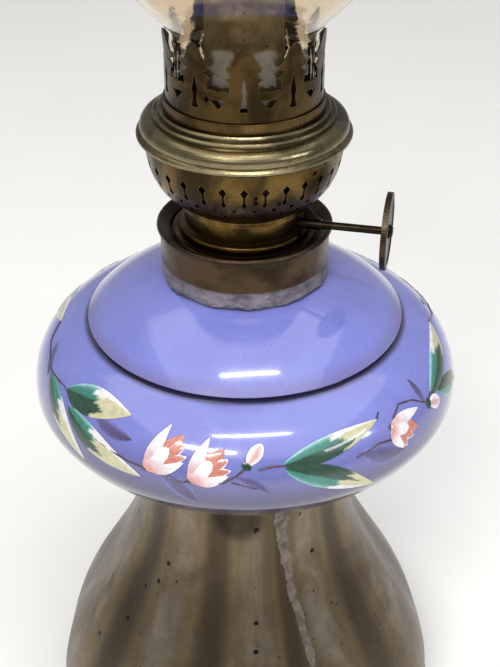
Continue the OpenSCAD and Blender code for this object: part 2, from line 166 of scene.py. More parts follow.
def new_group(name, kind, inputs, outputs):
    """A node group with named sockets. Returns its Tree and its input and output nodes."""
    tree = bpy.data.node_groups.new(name, kind)
    for label, socket_type, value in inputs:
        socket = tree.interface.new_socket(name=label, in_out="INPUT", socket_type=socket_type)
        if value is not None:
            socket.default_value = value
    for label, socket_type in outputs:
        tree.interface.new_socket(name=label, in_out="OUTPUT", socket_type=socket_type)
    t = Tree(tree)
    return t, t.node("NodeGroupInput"), t.node("NodeGroupOutput")


# %% [markdown]
# Every old metal on the lamp shares three marks of age: cloudy blotches, fine grain and small
# dark pits. They are one shader group with its own sizes, so each metal can be dirty in its own
# way. A second group finds the grooves, which the finishes darken, and the edges, which they
# lighten: polish from hands plus a painted highlight.

# %% Shader groups for age
FLOAT = "NodeSocketFloat"
patina, p_in, p_out = new_group(
    "patina", "ShaderNodeTree",
    [("Blotch Scale", FLOAT, 60.0), ("Grain Scale", FLOAT, 1500.0), ("Pit Scale", FLOAT, 260.0),
     ("Stretch", FLOAT, 1.0)],
    [("Blotch", FLOAT), ("Grain", FLOAT), ("Pits", FLOAT)])
place = patina.node("ShaderNodeTexCoord").outputs["Object"]
stretch = patina.node("ShaderNodeCombineXYZ", {"X": 1.0, "Y": 1.0, "Z": p_in.outputs["Stretch"]}).outputs[0]
drawn = patina.node("ShaderNodeVectorMath", {0: place, 1: stretch}, operation="MULTIPLY").outputs[0]
cloud = patina.node("ShaderNodeTexNoise", {
    "Vector": drawn, "Scale": p_in.outputs["Blotch Scale"], "Detail": 6.0, "Roughness": 0.62,
    "Distortion": 0.6}).outputs["Fac"]
grain = patina.node("ShaderNodeTexNoise", {
    "Vector": drawn, "Scale": p_in.outputs["Grain Scale"], "Detail": 3.0}).outputs["Fac"]
cells = patina.node("ShaderNodeTexVoronoi", {"Vector": place, "Scale": p_in.outputs["Pit Scale"]})
chosen = patina.math("GREATER_THAN", patina.node(
    "ShaderNodeSeparateColor", {0: cells.outputs["Color"]}).outputs[0], 0.94)
speck = patina.remap(cells.outputs["Distance"], 0.34, 0.16)
patina.put(p_out.inputs["Blotch"], patina.remap(cloud, 0.36, 0.66))
patina.put(p_out.inputs["Grain"], grain)
patina.put(p_out.inputs["Pits"], patina.times(speck, chosen))

relief, r_in, r_out = new_group(
    "grooves_and_edges", "ShaderNodeTree",
    [("Groove Reach", FLOAT, 0.004), ("Edge Radius", FLOAT, 0.0005)],
    [("Groove", FLOAT), ("Edge", FLOAT)])
shade = relief.node("ShaderNodeAmbientOcclusion", {"Distance": r_in.outputs["Groove Reach"]}, samples=4)
bent = relief.node("ShaderNodeBevel", {"Radius": r_in.outputs["Edge Radius"]}, samples=4).outputs[0]
face = relief.node("ShaderNodeNewGeometry").outputs["Normal"]
turn = relief.node("ShaderNodeVectorMath", {0: bent, 1: face}, operation="DOT_PRODUCT").outputs["Value"]
relief.put(r_out.inputs["Groove"], relief.remap(shade.outputs["AO"], 0.85, 0.3))
relief.put(r_out.inputs["Edge"], relief.remap(turn, 0.985, 0.8))
print("shader groups:", [g.name for g in bpy.data.node_groups])


# %% [markdown]
# Each finish is a material of its own. A metal is one colour where it is clean and another where
# it is dull, and the groups above say which is which at each point. The numbers that don't vary,
# such as Metallic, stand on the shader itself.


# %% Metal finishes
def blank(name):
    """A material with an empty Principled shader, and the Tree that fills it."""
    material = bpy.data.materials.new(name)
    material.use_nodes = True
    t = Tree(material.node_tree)
    return material, t, material.node_tree.nodes["Principled BSDF"]


def use_group(t, group, **values):
    made = t.node("ShaderNodeGroup")
    made.node_tree = group.tree
    for key, value in values.items():
        made.inputs[key.replace("_", " ").title()].default_value = value
    return made.outputs


def emboss(t, shader, height, strength, distance):
    """Raises the surface by a height pattern, so that light breaks on it."""
    bump = t.node("ShaderNodeBump", {"Height": height, "Strength": strength, "Distance": distance})
    t.put(shader.inputs["Normal"], bump.outputs[0])


def metal(name, clean, dull, dirt, rough=(0.26, 0.5), blotch_scale=60.0, grain_scale=1500.0,
          pit_scale=260.0, bump=0.12, metallic=1.0, edge_gain=0.5, reach=0.004):
    """An aged metal: clean and dull areas, dirty grooves, edges lightened by polish and a painted highlight,
    pits and grain.
    """
    material, t, shader = blank(name)
    age = use_group(t, patina, blotch_scale=blotch_scale, grain_scale=grain_scale, pit_scale=pit_scale)
    form = use_group(t, relief, groove_reach=reach)
    colour = t.mix(age["Blotch"], rgb(*clean), rgb(*dull))
    colour = t.mix(t.times(form["Groove"], 0.8), colour, rgb(*dirt))
    # Edges are lightened: partly polish from hands, partly a painted highlight.
    polish_and_highlight = [min(1.0, c * 2.0 + 0.05) for c in clean]
    colour = t.mix(t.times(form["Edge"], edge_gain), colour, rgb(*polish_and_highlight))
    colour = t.mix(age["Pits"], colour, rgb(*[c * 0.25 for c in dirt]))
    t.put(shader.inputs["Base Color"], colour)
    worn = t.plus(t.times(age["Blotch"], 0.7), t.times(age["Grain"], 0.3))
    t.put(shader.inputs["Roughness"], t.remap(worn, 0.0, 1.0, *rough, how="LINEAR"))
    shader.inputs["Metallic"].default_value = metallic
    height = t.minus(age["Grain"], t.times(age["Pits"], 2.0))
    emboss(t, shader, height, bump, 0.0004)
    return material


pale_brass = metal("pale_brass", (0.25, 0.212, 0.118), (0.055, 0.045, 0.025), (0.012, 0.009, 0.005),
                   rough=(0.2, 0.36), blotch_scale=45, bump=0.10)
warm_brass = metal("warm_brass", (0.135, 0.082, 0.024), (0.034, 0.022, 0.008), (0.006, 0.004, 0.002),
                   rough=(0.24, 0.44), blotch_scale=80, bump=0.16)
smoked_brass = metal("smoked_brass", (0.075, 0.047, 0.016), (0.024, 0.016, 0.007), (0.005, 0.003, 0.002),
                     rough=(0.26, 0.48), blotch_scale=70, bump=0.16)
brown_brass = metal("brown_brass", (0.076, 0.05, 0.028), (0.032, 0.022, 0.013), (0.007, 0.005, 0.003),
                    rough=(0.28, 0.44), blotch_scale=55, bump=0.16, edge_gain=0.7)
dark_brass = metal("dark_brass", (0.026, 0.019, 0.011), (0.012, 0.009, 0.006), (0.004, 0.003, 0.002),
                   rough=(0.3, 0.45), blotch_scale=120, bump=0.14)
tinned = metal("tinned_sheet", (0.29, 0.26, 0.19), (0.17, 0.15, 0.105), (0.03, 0.025, 0.02),
               rough=(0.6, 0.78), blotch_scale=110, pit_scale=700, bump=0.3, metallic=0.45)
plain_steel = metal("plain_steel", (0.36, 0.34, 0.32), (0.18, 0.15, 0.12), (0.04, 0.03, 0.02),
                    rough=(0.35, 0.6), blotch_scale=70)
cast_iron = metal("cast_iron", (0.09, 0.085, 0.08), (0.05, 0.045, 0.04), (0.02, 0.016, 0.012),
                  rough=(0.6, 0.8), grain_scale=900, bump=0.5, metallic=0.6)
print("metals:", len(bpy.data.materials))

# %% [markdown]
# Glass, enamel, plaster and cotton aren't metals, so each has its own short recipe. The font is
# opal glass: a strong clear coat over an even blue with faint clouding. Painted shade darkens its
# lower belly, a painted shadow line runs in the groove under the dome's rim, a painted brownish
# shade and reflection lies just above it, and the glass is darker where it is enclosed. The
# chimney is clear glass that carries a trace of smoke.


# %% Glass, enamel, plaster and cotton finishes
def blue_glass():
    material, t, shader = blank("blue_glass")
    age = use_group(t, patina, blotch_scale=26, grain_scale=700, pit_scale=900)
    form = use_group(t, relief, groove_reach=0.0035, edge_radius=0.0003)
    where = t.node("ShaderNodeTexCoord").outputs["Object"]
    height = t.node("ShaderNodeSeparateXYZ", {0: where}).outputs["Z"]
    colour = t.mix(age["Blotch"], rgb(0.165, 0.185, 0.53), rgb(0.19, 0.215, 0.59))
    # Painted shade: the lower belly darkens towards the foot.
    colour = t.mix(t.remap(height, 0.192, 0.164, 0, 0.97), colour, rgb(0.052, 0.042, 0.088))
    # Painted reflection and shade: a brownish band on the dome's rim just above the groove.
    rim_shade_and_reflection = t.times(t.remap(height, GROOVE_Z, GROOVE_Z + 0.001),
                    t.remap(height, GROOVE_Z + 0.006, GROOVE_Z + 0.001))
    colour = t.mix(t.times(rim_shade_and_reflection, 0.45), colour, rgb(0.13, 0.10, 0.18))
    # Painted shadow: a dark line in the groove under the overhanging rim of the dome.
    groove_shadow_line = t.times(t.remap(height, GROOVE_Z - 0.0014, GROOVE_Z - 0.0006),
                   t.remap(height, GROOVE_Z + 0.0012, GROOVE_Z + 0.0006))
    colour = t.mix(t.times(groove_shadow_line, 0.95), colour, rgb(0.012, 0.009, 0.03))
    # Darker where the glass is enclosed.
    colour = t.mix(t.times(form["Groove"], 0.75), colour, rgb(0.03, 0.025, 0.07))
    colour = t.mix(t.times(age["Pits"], 0.5), colour, rgb(0.09, 0.08, 0.14))
    t.put(shader.inputs["Base Color"], colour)
    t.put(shader.inputs["Roughness"], t.remap(age["Grain"], 0.3, 0.7, 0.12, 0.22))
    shader.inputs["Coat Weight"].default_value = 1.0
    shader.inputs["Coat Roughness"].default_value = 0.07
    swell = t.node("ShaderNodeTexNoise", {"Scale": 30.0, "Vector": where})
    emboss(t, shader, swell.outputs["Fac"], 0.06, 0.001)
    return material


def painted_enamel():
    """Thin glossy paint. Its colour is the mesh's own attribute, broken up by brush marks."""
    material, t, shader = blank("painted_enamel")
    paint = t.node("ShaderNodeAttribute", attribute_name="paint").outputs["Color"]
    age = use_group(t, patina, blotch_scale=420, grain_scale=2400, pit_scale=900)
    darker = t.node("ShaderNodeMix", {6: paint, 7: rgb(0.62, 0.60, 0.62)},
                    data_type="RGBA", blend_type="MULTIPLY")
    t.put(darker.inputs[0], t.times(age["Blotch"], 0.45))
    t.put(shader.inputs["Base Color"], darker.outputs[2])
    t.put(shader.inputs["Roughness"], t.remap(age["Grain"], 0.3, 0.7, 0.18, 0.34))
    shader.inputs["Coat Weight"].default_value = 0.6
    emboss(t, shader, age["Grain"], 0.15, 0.0002)
    return material


def grey_plaster():
    material, t, shader = blank("grey_plaster")
    age = use_group(t, patina, blotch_scale=150, grain_scale=1300, pit_scale=620)
    form = use_group(t, relief, groove_reach=0.003)
    colour = t.mix(age["Blotch"], rgb(0.19, 0.175, 0.215), rgb(0.085, 0.075, 0.09))
    colour = t.mix(form["Groove"], colour, rgb(0.04, 0.035, 0.05))
    colour = t.mix(t.times(form["Edge"], 0.6), colour, rgb(0.32, 0.31, 0.36))
    t.put(shader.inputs["Base Color"], colour)
    t.put(shader.inputs["Roughness"], t.remap(age["Grain"], 0.2, 0.8, 0.55, 0.85))
    emboss(t, shader, age["Grain"], 0.55, 0.0006)
    return material


def clear_glass():
    material, t, shader = blank("clear_glass")
    age = use_group(t, patina, blotch_scale=22, grain_scale=240, pit_scale=420)
    t.put(shader.inputs["Base Color"], t.mix(age["Blotch"], rgb(0.885, 0.79, 0.64), rgb(0.85, 0.73, 0.56)))
    t.put(shader.inputs["Roughness"], t.remap(age["Blotch"], 0.0, 1.0, 0.01, 0.05))
    shader.inputs["Transmission Weight"].default_value = 1.0
    shader.inputs["IOR"].default_value = 1.47
    emboss(t, shader, age["Grain"], 0.05, 0.0008)
    return material


def woven_cotton():
    """Cotton tape: ribs run up the wick and cross threads run round it."""
    material, t, shader = blank("woven_cotton")
    place = t.node("ShaderNodeSeparateXYZ", {0: t.node("ShaderNodeTexCoord").outputs["Object"]}).outputs
    angle = t.math("ARCTAN2", place["Y"], place["X"])
    ribs = t.math("SINE", t.times(angle, 72.0))
    picks = t.math("SINE", t.times(place["Z"], 6200.0))
    weave = t.times(ribs, picks)
    age = use_group(t, patina, blotch_scale=90, grain_scale=2600)
    colour = t.mix(age["Blotch"], rgb(0.66, 0.60, 0.46), rgb(0.45, 0.38, 0.26))
    colour = t.mix(t.remap(weave, -1.0, 0.2, 0.7, 0.0), colour, rgb(0.22, 0.18, 0.12))
    char = t.remap(place["Z"], WICK_TOP - 0.004, WICK_TOP)
    t.put(shader.inputs["Base Color"], t.mix(char, colour, rgb(0.02, 0.017, 0.015)))
    t.put(shader.inputs["Roughness"], t.remap(age["Grain"], 0.2, 0.8, 0.8, 0.95))
    shader.inputs["Sheen Weight"].default_value = 0.3
    emboss(t, shader, weave, 0.6, 0.0004)
    return material


def oiled_leather():
    material, t, shader = blank("oiled_leather")
    age = use_group(t, patina, blotch_scale=200, grain_scale=2200)
    t.put(shader.inputs["Base Color"], t.mix(age["Blotch"], rgb(0.10, 0.055, 0.025), rgb(0.05, 0.028, 0.014)))
    t.put(shader.inputs["Roughness"], t.remap(age["Grain"], 0.2, 0.8, 0.4, 0.65))
    emboss(t, shader, age["Grain"], 0.4, 0.0004)
    return material


WICK_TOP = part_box("wick")[1].z
GROOVE_Z = 0.1964
font_glass, enamel, plaster = blue_glass(), painted_enamel(), grey_plaster()
chimney_glass, cotton, leather = clear_glass(), woven_cotton(), oiled_leather()
print("finishes:", len(bpy.data.materials))


# %% [markdown]
# The foot is beaten from sheet metal, so it needs its own metal: long soft streaks run down the
# flutes, painted shade darkens the hollows, the ridges are lightened to a warm grey that is rubbed
# wear and a painted highlight, a painted shadow lies under the font, and rust has eaten a few
# black pits. A noise that is squeezed in height but not round the axis makes the streaks.


# %% Sheet metal for the foot
def beaten_metal():
    material, t, shader = blank("beaten_metal")
    age = use_group(t, patina, blotch_scale=34, grain_scale=1400, pit_scale=230, stretch=0.25)
    fine = use_group(t, patina, blotch_scale=130, grain_scale=3000, pit_scale=520, stretch=0.6)
    form = use_group(t, relief, groove_reach=0.006, edge_radius=0.0006)
    ridge = t.node("ShaderNodeAttribute", attribute_name="ridge").outputs["Fac"]
    pressed = t.node("ShaderNodeAttribute", attribute_name="pressed").outputs["Fac"]
    colour = t.mix(age["Blotch"], rgb(0.185, 0.138, 0.082), rgb(0.105, 0.076, 0.044))
    # Painted shade: the flute hollows are darkened.
    colour = t.mix(t.times(t.remap(ridge, 0.45, 0.0), 0.8), colour, rgb(0.038, 0.027, 0.018))
    # The ridges are lightened to a warm grey: partly rubbed wear, partly a painted highlight along each
    # ridge.
    rubbed_and_highlit = t.times(t.remap(ridge, 0.6, 1.0), t.remap(age["Blotch"], 0.0, 1.0, 0.85, 0.15))
    colour = t.mix(rubbed_and_highlit, colour, rgb(0.235, 0.205, 0.17))
    colour = t.mix(t.times(fine["Blotch"], 0.35), colour, rgb(0.075, 0.055, 0.035))
    colour = t.mix(t.times(form["Groove"], 0.7), colour, rgb(0.02, 0.014, 0.01))
    # Edges are lightened: wear plus a painted highlight.
    colour = t.mix(t.times(form["Edge"], 0.5), colour, rgb(0.38, 0.34, 0.29))
    # Painted shadow: the patch under the font, where the font's shadow falls, is darkened.
    colour = t.mix(t.times(pressed, 0.7), colour, rgb(0.008, 0.006, 0.005))
    eaten = t.times(t.math("MAXIMUM", age["Pits"], fine["Pits"]), t.remap(age["Blotch"], 0.35, 0.6))
    colour = t.mix(eaten, colour, rgb(0.006, 0.005, 0.004))
    t.put(shader.inputs["Base Color"], colour)
    worn = t.plus(t.times(age["Blotch"], 0.6), t.times(fine["Grain"], 0.4))
    t.put(shader.inputs["Roughness"], t.remap(worn, 0.0, 1.0, 0.24, 0.40, how="LINEAR"))
    shader.inputs["Metallic"].default_value = 0.85
    height = t.minus(fine["Grain"], t.times(eaten, 3.0))
    emboss(t, shader, height, 0.2, 0.0005)
    return material


foot_metal = beaten_metal()
solder = metal("grey_solder", (0.19, 0.16, 0.138), (0.095, 0.076, 0.062), (0.02, 0.016, 0.012),
               rough=(0.34, 0.55), blotch_scale=230, bump=0.3, metallic=0.7, reach=0.002)


# %% [markdown]
# Most of a lamp is turned: a flat outline spun round the axis. Blender has a Screw modifier for
# this, but building the rings by hand keeps the points on the axis single, so the poles close
# without a seam. Corners of the outline are rounded first, because a real edge always catches
# a thin line of light.


# %% Turned shapes
def bezier(a, b, c, d, steps):
    """Points of a cubic curve from a to d with handles b and c."""
    points = []
    for i in range(steps + 1):
        u = i / steps
        v = 1 - u
        points.append(tuple(v**3 * p + 3 * v * v * u * q + 3 * v * u * u * r + u**3 * s
                            for p, q, r, s in zip(a, b, c, d)))
    return points


def softened(outline, radius, steps=3):
    """The closed outline with each sharp corner replaced by a short curve."""
    out = []
    for i, corner in enumerate(outline):
        here = Vector(corner)
        back, ahead = Vector(outline[i - 1]) - here, Vector(outline[(i + 1) % len(outline)]) - here
        turn_angle = math.pi - back.angle(ahead, math.pi)
        if turn_angle < 0.35 or here.x < 1e-6:
            out.append(corner)
            continue
        reach = min(radius, back.length * 0.45, ahead.length * 0.45)
        start, end = here + back.normalized() * reach, here + ahead.normalized() * reach
        for k in range(steps + 1):
            u = k / steps
            out.append(tuple((1 - u)**2 * start + 2 * u * (1 - u) * here + u * u * end))
    return out


def turned(name, outline, around=160, wobble=None):
    """A solid of revolution from a closed outline of (radius, height) in millimetres."""
    bm = bmesh.new()
    rings = []
    for radius, height in outline:
        if radius < 1e-6:
            rings.append([bm.verts.new((0, 0, height * MM))])
            continue
        ring = []
        for k in range(around):
            a = 2 * math.pi * k / around
            r = radius + (wobble(a, radius, height) if wobble else 0)
            ring.append(bm.verts.new((r * MM * math.cos(a), r * MM * math.sin(a), height * MM)))
        rings.append(ring)
    for low, high in zip(rings, rings[1:] + rings[:1]):
        if len(low) == 1 and len(high) == 1:
            continue
        for k in range(around):
            n = (k + 1) % around
            corners = [low[k % len(low)], low[n % len(low)], high[n % len(high)], high[k % len(high)]]
            bm.faces.new(list(dict.fromkeys(corners)))
    bmesh.ops.recalc_face_normals(bm, faces=bm.faces)
    return as_object(name, bm)


def as_object(name, bm, sharp=40):
    """A smooth-shaded object from a bmesh, with edges sharper than the given angle left crisp."""
    mesh = bpy.data.meshes.new(name)
    bm.to_mesh(mesh)
    bm.free()
    mesh.shade_smooth()
    mesh.set_sharp_from_angle(angle=math.radians(sharp))
    piece = bpy.data.objects.new(name, mesh)
    bpy.context.scene.collection.objects.link(piece)
    return piece


def settle(piece, body, slot, finish, *nodes):
    """Gives a finished piece its finish and its body, and hides the nodes that it stands for. The slot
    argument is not used.
    """
    if finish is not None:
        piece.data.materials.clear()
        piece.data.materials.append(finish)
    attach(piece, body)
    if nodes:
        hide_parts(*nodes)
    print(f"{piece.name}: {len(piece.data.polygons)} faces on {body}")
    return piece


def span(node):
    """Outer radius, lowest and highest height of a node, in millimetres."""
    low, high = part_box(node)
    return high.y / MM, low.z / MM, high.z / MM


# %% [markdown]
# The font is the main coloured piece. Its outline is three smooth curves: up from the foot to
# the widest ring, on to the groove of the shoulder, and over the dome to the neck. The same
# curves are kept as a list, because the garland has to lie on them.

# %% The font
FONT_R, FONT_TOP = span("font")[0], span("font")[2]
FONT_LOW = span("font_base")[1]
BOSS_R, BOSS_H = 34, 8.1
GLASS = 3.4
FONT_Z = FONT_LOW + BOSS_H
LOWER_H, UPPER_H, DOME_H, LEDGE_H = 31.8, 25.6, 17.0, 1.5
RIDGE_R, NECK_R = 58.5, 27.4
WIDEST_Z = FONT_Z + LOWER_H
RIDGE_Z = WIDEST_Z + UPPER_H
DOME_Z = RIDGE_Z + LEDGE_H + DOME_H
belly = bezier((FONT_R * 0.525, FONT_Z), (FONT_R * 0.825, FONT_Z + LOWER_H * 0.36),
               (FONT_R, WIDEST_Z - LOWER_H * 0.28), (FONT_R, WIDEST_Z), 28)
shoulder = bezier((FONT_R, WIDEST_Z), (FONT_R, WIDEST_Z + UPPER_H * 0.41),
                  (FONT_R * 0.9375, RIDGE_Z - UPPER_H * 0.21), (RIDGE_R - 0.5, RIDGE_Z), 28)
ledge = [(RIDGE_R - 1.6, RIDGE_Z + 0.1), (RIDGE_R - 1.7, RIDGE_Z + 0.5), (RIDGE_R - 0.5, RIDGE_Z + 0.7),
         (RIDGE_R - 0.1, RIDGE_Z + 0.95)]
dome = bezier((RIDGE_R, RIDGE_Z + LEDGE_H), (RIDGE_R - 4.5, RIDGE_Z + LEDGE_H + DOME_H * 0.26),
              (RIDGE_R - 12.5, DOME_Z - DOME_H * 0.29), (NECK_R, DOME_Z), 28)
skin = belly + shoulder[1:] + ledge + dome + [(NECK_R, DOME_Z + 1), (NECK_R, FONT_TOP)]
inside = [(r - GLASS if z > WIDEST_Z - 20 else r * 0.9, min(max(z, FONT_Z + GLASS), FONT_TOP))
          for r, z in belly[4::3] + shoulder[3::3]]
inside += [(r - 1.4, z - GLASS) for r, z in dome[2::4]]
inside += [(NECK_R - GLASS, DOME_Z - 2), (NECK_R - GLASS, FONT_TOP)]
outline = [(0, FONT_LOW), (BOSS_R, FONT_LOW), (BOSS_R, FONT_Z)] + skin + inside[::-1] + [(0, FONT_Z + GLASS)]
font = turned("font_glass", outline, around=192)
settle(font, "lamp_body", "enamelled_glass", font_glass, "font", "font_base")

# %% [markdown]
# The chimney is blown glass: a straight base that stands in the gallery, a round bulge, and a
# long tube that narrows a little. The inner face is the outer one moved in along its normals,
# so the wall is even.


# %% The glass chimney
def inset(path, distance):
    """The open path moved sideways, to the left of its direction for a positive distance."""
    moved = []
    for i, point in enumerate(path):
        before, after = Vector(path[max(i - 1, 0)]), Vector(path[min(i + 1, len(path) - 1)])
        along = (after - before).normalized()
        moved.append((point[0] - along.y * distance, point[1] + along.x * distance))
    return moved


def heading(degrees):
    return Vector((math.cos(math.radians(degrees)), math.sin(math.radians(degrees))))


MOUTH_R, WALL = 20.6, 1.6
CHIMNEY_LOW, CHIMNEY_TOP = span("chimney")[1:]
BASE_R, BASE_TOP = 24.9, CHIMNEY_LOW + 21
TUBE_R, TUBE_LOW = 22.2, CHIMNEY_LOW + 105
BULGE_FROM, BULGE_TO = -18, 50
bulge_middle, bulge_turn = Vector((27, CHIMNEY_LOW + 57)), 20
low_end = bulge_middle + bulge_turn * heading(BULGE_FROM)
high_end = bulge_middle + bulge_turn * heading(BULGE_TO)
glass_path = [(BASE_R, CHIMNEY_LOW + h) for h in (0, 1, 8, 15)]
glass_path += bezier((BASE_R, BASE_TOP), (BASE_R, BASE_TOP + 6), low_end - 16 * heading(72), low_end, 16)
for k in range(1, 20):
    round_bulge = heading(BULGE_FROM + (BULGE_TO - BULGE_FROM) * k / 20)
    glass_path.append(tuple(bulge_middle + bulge_turn * round_bulge))
glass_path += bezier(high_end, high_end + 14 * heading(140), (22.4, CHIMNEY_LOW + 88), (TUBE_R, TUBE_LOW), 16)
for k in range(1, 13):
    glass_path.append((TUBE_R + (MOUTH_R - TUBE_R) * k / 12, TUBE_LOW + (CHIMNEY_TOP - TUBE_LOW) * k / 12))
chimney_outline = softened(glass_path + inset(glass_path, WALL)[::-1], 0.7)
chimney = turned("glass_chimney", chimney_outline, around=144)
settle(chimney, "chimney_body", "chimney_glass", chimney_glass, "chimney")

# %% [markdown]
# Plaster was pushed in by hand between the collar and the glass, so the bead is lumpy. Noise
# moves its face in, never out, which keeps it inside the size that the frame gives it.

# %% The plaster bead
BEAD_R, BEAD_LOW, BEAD_TOP = span("collar_seal")


def lumps(angle, radius, height):
    """How far the bead's face lies in, in millimetres."""
    if radius < NECK_R + 1:
        return 0
    here = Vector((math.cos(angle), math.sin(angle), height * 0.09))
    return -1.2 * max(0, 0.5 + 0.6 * noise.noise(here * 4)) - 0.8 * max(0, noise.noise(here * 17))


bead_face = [(BEAD_R - 0.9, BEAD_LOW), (BEAD_R - 0.1, BEAD_LOW + 1.2)]
bead_face += [(BEAD_R - 0.05 * k, BEAD_LOW + 1.2 + (BEAD_TOP - BEAD_LOW - 1.2) * k / 9) for k in range(1, 10)]
bead = turned("plaster_bead", [(NECK_R, BEAD_LOW)] + bead_face + [(NECK_R, BEAD_TOP)], 300, lumps)
settle(bead, "lamp_body", "plaster", plaster, "collar_seal")

# %% [markdown]
# The foot follows a rule, so Geometry Nodes build it. A flat grid is rolled into a bell: the
# column sets the angle, the row sets the height, and an even swell sets the radius. On top of
# that come shallow flutes that deepen towards the floor, a lap where the sheet's two ends meet,
# a slightly pressed-in place under the font, and the small dents of age. The place under the
# font also carries a painted shadow, and the flute ridges are stored for painted highlight and
# shade. Everything is an input with a name, so the same group makes a foot with more flutes or a
# deeper lap.


# %% Node group for the foot
def hand_out(tree, output, geometry, material):
    """Ends a geometry group: its instances become real and all of it takes one material."""
    real = tree.node("GeometryNodeRealizeInstances", {"Geometry": geometry}).outputs[0]
    painted = tree.node("GeometryNodeSetMaterial", {"Geometry": real, "Material": material}).outputs[0]
    tree.put(output.inputs[0], painted)


BELL_R, BELL_LOW, BELL_TOP = span("foot_shell")
TOP_R = 41.2
SEAM_TOP, SEAM_LOW = math.radians(18.5), math.radians(31.5)
INTEGER = "NodeSocketInt"
bell, b_in, b_out = new_group(
    "fluted_bell", "GeometryNodeTree",
    [("Around", INTEGER, 400), ("Rows", INTEGER, 90), ("Low", FLOAT, 0.003), ("Top", FLOAT, 0.137),
     ("Top Radius", FLOAT, 0.04), ("Low Radius", FLOAT, 0.08), ("Flutes", FLOAT, 9.0),
     ("Flute Depth", FLOAT, 0.001), ("First Ridge", FLOAT, 0.2), ("Seam Top", FLOAT, 0.3),
     ("Seam Low", FLOAT, 0.4), ("Lap", FLOAT, 0.0005), ("Dent Depth", FLOAT, 0.001),
     ("Press Depth", FLOAT, 0.002), ("Material", "NodeSocketMaterial", None)],
    [("Geometry", "NodeSocketGeometry")])
g = b_in.outputs
columns = bell.plus(g["Around"], 1)
sheet = bell.node("GeometryNodeMeshGrid", {"Size X": 1.0, "Size Y": 1.0, "Vertices X": columns,
                                           "Vertices Y": g["Rows"]}).outputs["Mesh"]
flat = bell.node("ShaderNodeSeparateXYZ", {0: bell.node("GeometryNodeInputPosition").outputs[0]}).outputs
angle = bell.times(flat["X"], 2 * math.pi)
down = bell.minus(0.5, flat["Y"])
fall = bell.times(down, bell.minus(g["Top"], g["Low"]))
height = bell.minus(g["Top"], fall)
swell = bell.node("ShaderNodeMapRange", {"Value": fall, "From Min": 0.0, "From Max": g["Top"],
                                         "To Min": g["Top Radius"], "To Max": g["Low Radius"]},
                  interpolation_type="SMOOTHERSTEP").outputs[0]
warp = bell.times(bell.times(bell.remap(angle, 0.1, 0.55), bell.remap(angle, 2.9, 1.2)), 0.24)
phase = bell.times(bell.plus(bell.minus(angle, g["First Ridge"]), warp), g["Flutes"])
ridge = bell.math("MULTIPLY_ADD", bell.math("COSINE", phase), 0.5, 0.5)
grown = bell.times(bell.remap(fall, 0.004, 0.085, 0.25, 1.0), bell.remap(height, 0.004, 0.024))
fluting = bell.times(bell.times(bell.minus(0.0, ridge), grown), g["Flute Depth"])
round_place = bell.node("ShaderNodeCombineXYZ", {
    "X": bell.times(bell.math("SINE", angle), 0.07),
    "Y": bell.times(bell.math("COSINE", angle), -0.07),
    "Z": bell.times(height, 0.6)}).outputs[0]
wear = bell.node("ShaderNodeTexNoise", {"Vector": round_place, "Scale": 38.0, "Detail": 2.0}).outputs["Fac"]
ragged = bell.node("ShaderNodeTexNoise", {"Vector": round_place, "Scale": 240.0}).outputs["Fac"]
dents = bell.times(bell.remap(wear, 0.42, 0.75), g["Dent Depth"])
seam_slope = bell.times(bell.minus(g["Seam Low"], g["Seam Top"]), down)
from_seam = bell.minus(angle, bell.plus(g["Seam Top"], seam_slope))
from_seam = bell.plus(from_seam, bell.math("MULTIPLY_ADD", ragged, 0.05, -0.025))
left_lap = bell.times(bell.remap(from_seam, -0.5, -0.03), bell.math("LESS_THAN", from_seam, 0.0))
lap = bell.times(bell.minus(1.0, left_lap), g["Lap"])
beside = bell.math("DIVIDE", bell.plus(angle, 0.07), 0.30)
under = bell.math("DIVIDE", bell.minus(height, 0.128), 0.013)
patch = bell.plus(bell.times(beside, beside), bell.times(under, under))
# This mask marks the patch under the font where its shadow falls: it sets a shallow dent, and the finish
# paints the shadow there from the stored attribute.
pressed = bell.remap(patch, 1.0, 0.25)
press = bell.times(pressed, g["Press Depth"])
radius = swell
for cut in (fluting, dents, lap, press):
    radius = bell.minus(radius, cut)
rolled = bell.node("ShaderNodeCombineXYZ", {
    "X": bell.times(radius, bell.math("SINE", angle)),
    "Y": bell.times(radius, bell.times(bell.math("COSINE", angle), -1.0)),
    "Z": height}).outputs[0]
marks = sheet
for mark, strength in (("ridge", ridge), ("pressed", pressed)):
    marks = bell.node("GeometryNodeStoreNamedAttribute", {"Geometry": marks, "Name": mark, "Value": strength},
                      data_type="FLOAT", domain="POINT").outputs[0]
shaped = bell.node("GeometryNodeSetPosition", {"Geometry": marks, "Position": rolled}).outputs[0]
closed = bell.node("GeometryNodeMergeByDistance", {"Geometry": shaped, "Distance": 0.00001}).outputs[0]
hand_out(bell, b_out, closed, g["Material"])
print("nodes in the foot's group:", len(bell.tree.nodes))

# %% [markdown]
# A group only draws once it stands on an object. The helper below sets its inputs by their
# identifiers, takes the result as a plain mesh, and drops the modifier.


# %% From node group to plain mesh
def grow(name, group, carrier, **values):
    """Runs a geometry group on the carrier object and returns the result as its own object."""
    modifier = carrier.modifiers.new(group.tree.name, "NODES")
    modifier.node_group = group.tree
    sockets = {item.name: item.identifier for item in group.tree.interface.items_tree
               if item.in_out == "INPUT"}
    for key, value in values.items():
        modifier[sockets[key.replace("_", " ").title()]] = value
    bpy.context.view_layer.update()
    graph = bpy.context.evaluated_depsgraph_get()
    mesh = bpy.data.meshes.new_from_object(carrier.evaluated_get(graph))
    mesh.name = name
    piece = bpy.data.objects.new(name, mesh)
    bpy.context.scene.collection.objects.link(piece)
    bpy.data.objects.remove(carrier)
    return piece


def carrier(name, data=None):
    made = bpy.data.objects.new(name, data or bpy.data.meshes.new(name))
    bpy.context.scene.collection.objects.link(made)
    return made


